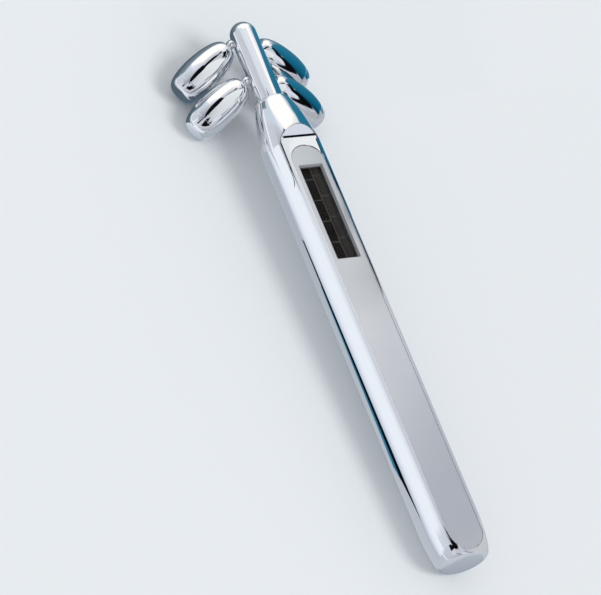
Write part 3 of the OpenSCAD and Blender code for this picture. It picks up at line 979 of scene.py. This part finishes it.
def direction(azimuth, elevation):
    """Unit vector for an azimuth and an elevation in degrees."""
    a, e = math.radians(azimuth), math.radians(elevation)
    return Vector((math.sin(a) * math.cos(e), math.cos(a) * math.cos(e), math.sin(e)))


def blended(first, second, t):
    return [a + (b - a) * t for a, b in zip(first, second)]


def fade(inside, width):
    """From 0 at an edge to 1 where the fading ends."""
    t = min(max(inside / width, 0), 1) if width else 1
    return t * t * (3 - 2 * t)


def glowing_grid(name, columns, rows):
    """A grid that shows in mirrors and nowhere else, and the colours of its points."""
    deselect()
    bpy.ops.mesh.primitive_grid_add(x_subdivisions=columns, y_subdivisions=rows, size=1)
    obj = bpy.context.object
    obj.name = name
    obj.visible_camera = False
    obj.visible_diffuse = False
    obj.visible_shadow = False
    obj.data.materials.append(glow)
    return obj, obj.data.color_attributes.new("card_colour", "FLOAT_COLOR", "POINT").data


# %% One card
FAR = 3.0
FAR_STEP = 0.02
far_cards = []


def card(name, azimuths, elevations, left, right=None, centre=(0, 0, 0), distance=None,
         soft=(1.5, 1.5, 1.5, 1.5), tilt=(0, 0)):
    """A card round a centre.

    Left and right are pairs of colours, bottom and top. Soft gives the fading at the
    left, right, bottom and top edge, in degrees. Tilt is how far the bottom and the
    top edge rise toward the right.
    """
    right = right or left
    if distance is None:
        distance = FAR - FAR_STEP * len(far_cards)
        far_cards.append(name)
    obj, painted = glowing_grid(name, 56, 40)
    width = azimuths[1] - azimuths[0]
    for vertex in obj.data.vertices:
        u, v = vertex.co.x + 0.5, vertex.co.y + 0.5
        bottom = elevations[0] + tilt[0] * u
        height = elevations[1] + tilt[1] * u - bottom
        strength = fade(u * width, soft[0]) * fade((1 - u) * width, soft[1])
        strength *= fade(v * height, soft[2]) * fade((1 - v) * height, soft[3])
        colour = blended(blended(*left, v), blended(*right, v), u)
        painted[vertex.index].color = (*colour, strength)
        toward = direction(azimuths[0] + width * u, bottom + height * v)
        vertex.co = Vector(centre) + toward * distance


def plain(colour):
    """The same colour at the bottom and at the top."""
    return (colour, colour)


def flag(name, azimuths, elevations, **more):
    """A black card."""
    card(name, azimuths, elevations, plain(BLACK), **more)


# %% The far cards
EVEN = (0, 0, 0, 0)
card("horizon", (-180, 180), (-3, 92), plain(PALE_GREY), soft=EVEN)
card("left_card", (-125, -60), (-3, 62), ((0.72, 0.77, 0.83), (0.60, 0.63, 0.68)), soft=(6, 14, 0, 8))
card("front_flank", (-82, -20), (-3, 62), (BLUE_WHITE, PALE_BLUE), soft=(10, 6, 0, 6))
card("front_flank_low", (-84, -24), (-3, 24), plain(BLUE_WHITE), soft=(10, 8, 0, 10))
card("front_softbox", (-34, 52), (8, 64), plain(WHITE), soft=(8, 8, 10, 4))
card("front_softbox_top", (-62, 60), (58, 78), (PALE_BLUE, GREY), (WHITE, GREY), soft=(8, 8, 3, 0))
card("right_wall", (56, 118), (-3, 44), (GREY, (0.56, 0.59, 0.64)), soft=(6, 6, 0, 6))
card("face_light", (42, 82), (30, 66), plain((0.98, 1.0, 1.0)), plain((0.80, 0.84, 0.90)),
     soft=(4, 4, 4, 3))
flag("right_flag", (74, 132), (50, 68), soft=(3, 2, 2, 2), tilt=(-7, -12))
card("back_softbox", (130, 184), (30, 76), (PALE_BLUE, LILAC), soft=(3, 6, 3, 3))
card("back_wall", (100, 216), (-3, 20), plain((0.46, 0.47, 0.50)), soft=(4, 4, 0, 3))
flag("back_flag_left", (178, 232), (28, 45), soft=(3, 3, 3, 4))
flag("left_flag", (-106, -93), (22, 74), soft=(2, 2, 2, 0), tilt=(2, 0))
flag("top_flag_left", (-112, -68), (62, 80), soft=(3, 3, 4, 0))
flag("top_flag_right", (40, 66), (66, 80), soft=(3, 3, 3, 0))
flag("top_flag", (-122, 74), (76, 90), soft=(2, 2, 3, 0))

# %% [markdown]
# A few small cards stand close to the head and the foot, where one place needs
# something that the rest of the bar must not see: a teal wall under a black arch
# beside the right rollers, a white window over a black line and black flags for the
# left ones, two pale cards and a teal one beside the stem, and grey cards for the
# foot's round edge.

# %% Small cards close to the stem
STEM_SIDE = (0, 0.08, 0.01)
card("stem_card", (-80, -50), (-20, 46), ((0.68, 0.71, 0.76), (0.60, 0.62, 0.66)),
     centre=STEM_SIDE, distance=0.12, soft=(2, 6, 0, 8))
card("head_card", (-60, -24), (-20, 54), plain((0.66, 0.74, 0.82)),
     centre=STEM_SIDE, distance=0.13, soft=(2, 3, 0, 6), tilt=(0, -38))
card("teal_side", (33, 66), (-25, 44), (TEAL, (0.22, 0.37, 0.46)), centre=STEM_SIDE, distance=0.15,
     soft=(21, 0, 0, 16))

# %% Small cards close to the right rollers
RIGHT_ROLLERS = (0.017, 0.075, 0.012)
card("teal_wall", (40, 100), (-8, 58), plain(TEAL), plain(DEEP_TEAL),
     centre=RIGHT_ROLLERS, distance=0.08, soft=(4, 0, 0, 0))
card("teal_shade", (98, 128), (6, 52), plain(DEEP_TEAL), plain((0.004, 0.03, 0.05)),
     centre=RIGHT_ROLLERS, distance=0.0795, soft=(3, 3, 4, 2))
ARCH = {
    "arch_top": ((46, 112), (54, 63), (4, 0, 3, 2), (0, -3)),
    "arch_side": ((108, 131), (46, 66), (0, 0, 3, 2), (-28, -14)),
    "arch_end": ((131, 150), (18, 52), (0, 0, 3, 3), (8, -12)),
    "arch_foot": ((150, 178), (26, 40), (0, 3, 2, 3), (-2, -8)),
}
for name, (azimuths, elevations, soft, tilt) in ARCH.items():
    flag(name, azimuths, elevations, centre=RIGHT_ROLLERS, distance=0.079, soft=soft, tilt=tilt)

# %% Small cards close to the left rollers
LEFT_ROLLERS = (-0.017, 0.075, 0.012)
card("smoky_front", (-34, 40), (-12, 18), (SMOKY_TEAL, (0.25, 0.30, 0.33)), centre=LEFT_ROLLERS,
     distance=0.061, soft=(3, 6, 0, 8))
card("roller_window", (100, 186), (18, 68), plain((0.92, 0.96, 0.95)), plain((0.58, 0.60, 0.66)),
     centre=(-0.04, 0.085, 0.012), distance=0.0605, soft=(6, 4, 4, 0), tilt=(15, 4))
flag("roller_line", (108, 150), (14, 24), centre=LEFT_ROLLERS, distance=0.064,
     soft=(4, 3, 2, 3), tilt=(6, 6))
flag("roller_flag_side", (-172, -148), (20, 46), centre=(-0.022, 0.078, 0.012), distance=0.038,
     soft=(3, 3, 3, 3))
card("roller_grey", (-104, -42), (26, 64), plain((0.28, 0.30, 0.36)), plain((0.66, 0.69, 0.74)),
     centre=LEFT_ROLLERS, distance=0.062, soft=(6, 14, 12, 0))
flag("roller_flag", (-122, -28), (45, 88), centre=LEFT_ROLLERS, distance=0.06,
     soft=(2, 5, 5, 0), tilt=(21, 0))

# %% Small cards close to the foot
FOOT_END = (0, -0.09, 0.01)
card("foot_card", (66, 154), (-8, 64), plain(WARM_GREY), centre=FOOT_END, distance=0.05,
     soft=(6, 6, 0, 6))
card("foot_side", (-180, -90), (-8, 22), plain((0.46, 0.50, 0.56)), plain((0.60, 0.64, 0.69)),
     centre=FOOT_END, distance=0.05, soft=(0, 6, 0, 4))
card("plate_shade", (14, 90), (20, 66), plain((0.45, 0.48, 0.54)), centre=FOOT_END, distance=0.12,
     soft=(34, 4, 8, 4))

# %% [markdown]
# Flat sheets lie on the floor and show only in reflections too. A bright one on the
# left, fading toward the bar, makes the wide highlight along it. A narrow black wedge
# with a teal side draws the fine line below: the black is a painted reflection of the
# floor's shadow beside the bar. A grey one under the device is painted shade of the
# floor beneath it, which keeps its lower flank quiet, and a darker patch before the end
# disc is the painted shadow of the foot. A dim one under the left rollers is their
# painted shadow, and with a teal one beyond the stem it does the same for the head.

# %% Sheets on the floor
def floor_sheet(name, corners, colours, height):
    """A flat four-sided sheet. Corners in millimetres, each with its colour."""
    obj, painted = glowing_grid(name, 8, 8)
    for vertex in obj.data.vertices:
        u, v = vertex.co.x + 0.5, vertex.co.y + 0.5
        colour = blended(blended(colours[0], colours[1], u), blended(colours[3], colours[2], u), v)
        painted[vertex.index].color = (*colour, 1)
        x, y = blended(blended(corners[0], corners[1], u), blended(corners[3], corners[2], u), v)
        vertex.co = (x * MM, y * MM, height * MM)


def area(left_x, right_x, near_y, far_y):
    """The corners of a rectangle."""
    return [(left_x, near_y), (right_x, near_y), (right_x, far_y), (left_x, far_y)]


def floor_strip(name, left_x, right_x, left_colour, right_colour):
    """A long sheet beside the bar, shaded from one side to the other."""
    colours = [left_colour, right_colour, right_colour, left_colour]
    floor_sheet(name, area(left_x, right_x, -300, 300), colours, 0.1)


BLUE_FLOOR = (0.86, 0.91, 1.0)
MIDDLE_FLOOR = (0.68, 0.74, 0.82)
# Painted shade of the floor under the device, deepest under the head.
SHADED_FLOOR = (0.43, 0.48, 0.53)
# A lighter painted shade of the floor toward the foot.
FOOT_FLOOR = (0.54, 0.58, 0.63)
# Painted shadow of the foot on the floor before the end disc.
FOOT_SHADOW_FLOOR = (0.30, 0.35, 0.41)
SIDE_FLOOR = (0.58, 0.60, 0.63)
# Painted shadow of the floor under the left rollers.
ROLLER_SHADOW_FLOOR = (0.09, 0.13, 0.165)
floor_sheet("bright_sheet", area(-2900, -75, -1800, 2400), [BLUE_WHITE] * 4, 0.1)
floor_strip("fading_sheet", -75, -38, BLUE_WHITE, BLUE_FLOOR)
floor_strip("fading_sheet_middle", -38, -27, BLUE_FLOOR, MIDDLE_FLOOR)
# This strip fades into the painted shade of the floor next to the bar.
floor_strip("fading_sheet_near", -27, -19, MIDDLE_FLOOR, SHADED_FLOOR)
# Painted shade of the floor under the device, as the chrome sees it.
floor_sheet("shaded_sheet", area(-19, 30, -93, 60),
            [FOOT_FLOOR, FOOT_FLOOR, SHADED_FLOOR, SHADED_FLOOR], 0.1)
# Painted shade of the floor beside the head.
floor_sheet("head_sheet", area(-27, -19, 15, 62),
            [MIDDLE_FLOOR, SHADED_FLOOR, SHADED_FLOOR, SHADED_FLOOR], 0.15)
# Painted shade too: this sheet grows darker toward the foot.
floor_sheet("foot_sheet", area(-45, 45, -150, -93),
            [MIDDLE_FLOOR, MIDDLE_FLOOR, FOOT_FLOOR, FOOT_FLOOR], 0.15)
# Painted shadow of the foot on the floor in front of the end disc.
floor_sheet("disc_sheet", area(-7, 14, -104, -93),
            [FOOT_FLOOR, FOOT_FLOOR, FOOT_SHADOW_FLOOR, FOOT_SHADOW_FLOOR], 0.2)
floor_sheet("right_sheet", area(30, 2900, -1800, 75), [GREY] * 4, 0.1)
floor_sheet("teal_sheet", [(-45, 100), (90, 75), (160, 300), (-90, 300)],
            [SMOKY_TEAL, TEAL, TEAL, SMOKY_TEAL], 0.2)
floor_sheet("roller_side_sheet", area(-62, -34, 66, 112), [SIDE_FLOOR] * 4, 0.25)
# Painted shadow of the left rollers on the floor.
floor_sheet("roller_sheet", area(-36, -3, 72, 125), [ROLLER_SHADOW_FLOOR] * 4, 0.3)
# Painted reflection of the floor's dark shadow line along the bar.
floor_sheet("dark_wedge", [(-21.5, -75), (-14.5, -60), (-20, 26), (-23.5, 26)], [BLACK] * 4, 0.2)
floor_sheet("teal_wedge", [(-14.8, -62), (-11.5, -57), (-17.3, 8), (-18.8, 8)], [TEAL] * 4, 0.3)
print(len(far_cards), "far cards round the studio")

# %% [markdown]
# ## Floor, light and world
# The floor is plain and pale, with a faint unevenness like sprayed board. The world
# gives most of the light at a plain level, at which a colour renders about as it is
# written, and one broad sun from the right gives the object its soft shadow. The
# camera, the chrome and the glass all see a pale world.

# %% The floor
deselect()
bpy.ops.mesh.primitive_plane_add(size=8, location=(0, 0, 0))
floor = bpy.context.object
floor.name = "floor"
floor_finish = new_material("pale_floor", (0.82, 0.845, 0.86), 0, 0.7)
two_tone(floor_finish, cloudy(floor_finish, 6, 3), (0.81, 0.84, 0.86), (0.83, 0.85, 0.87))
raise_relief(floor_finish, cloudy(floor_finish, 900, 3), 1e-5)
floor.data.materials.append(floor_finish)

# %% The light and the world
WORLD_LIGHT = 0.72
SUN_LIGHT = 1.1
SUN_FROM = (150, 55)
SUN_WIDTH = 24
deselect()
bpy.ops.object.light_add(type="SUN")
sun = bpy.context.object
sun.rotation_euler = (-direction(*SUN_FROM)).to_track_quat("-Z", "Y").to_euler()
sun.data.energy = SUN_LIGHT
sun.data.angle = math.radians(SUN_WIDTH)
sun.visible_glossy = False
sun.visible_transmission = False

scene = bpy.context.scene
scene.view_settings.view_transform = "Standard"
world = bpy.data.worlds.new("studio")
scene.world = world
world.use_nodes = True
tree = world.node_tree
diffuse_sky = tree.nodes["Background"]
set_inputs(diffuse_sky.inputs, {"Color": (0.96, 0.98, 1, 1), "Strength": WORLD_LIGHT})
seen_sky = add_node(world, "ShaderNodeBackground", Color=(0.83, 0.87, 0.9, 1))
rays = add_node(world, "ShaderNodeLightPath")
seen = rays.outputs["Is Camera Ray"]
for kind in ("Is Glossy Ray", "Is Transmission Ray"):
    either = add_node(world, "ShaderNodeMath")
    either.operation = "MAXIMUM"
    join(world, seen, either.inputs[0])
    join(world, rays.outputs[kind], either.inputs[1])
    seen = either.outputs["Value"]
sky = add_node(world, "ShaderNodeMixShader")
join(world, seen, sky.inputs["Fac"])
join(world, diffuse_sky.outputs["Background"], sky.inputs[1])
join(world, seen_sky.outputs["Background"], sky.inputs[2])
join(world, sky.outputs["Shader"], tree.nodes["World Output"].inputs["Surface"])
print("world", WORLD_LIGHT, "sun", SUN_LIGHT)

# %% [markdown]
# ## The camera
# A long lens a metre away keeps the bar's sides nearly parallel. Its place and its
# turn are given in the standing device's own directions and laid down with it.

# %% The camera
CAMERA_AIM = LAY_DOWN @ Vector((-11.90, 8.44, 97.50))
CAMERA_DISTANCE = 1.0169
CAMERA_LENS = 203.09
laid = LAY_DOWN.to_3x3().normalized()
away = laid @ Vector((0.51884, 0.75294, 0.40482))
up = laid @ Vector((0.10142, -0.52442, 0.84540))
deselect()
bpy.ops.object.camera_add(location=CAMERA_AIM - away * CAMERA_DISTANCE)
camera = bpy.context.object
camera.rotation_mode = "QUATERNION"
camera.rotation_quaternion = Matrix((away.cross(up), up, -away)).transposed().to_quaternion()
camera.data.lens = CAMERA_LENS
camera.data.clip_end = 20
scene.camera = camera
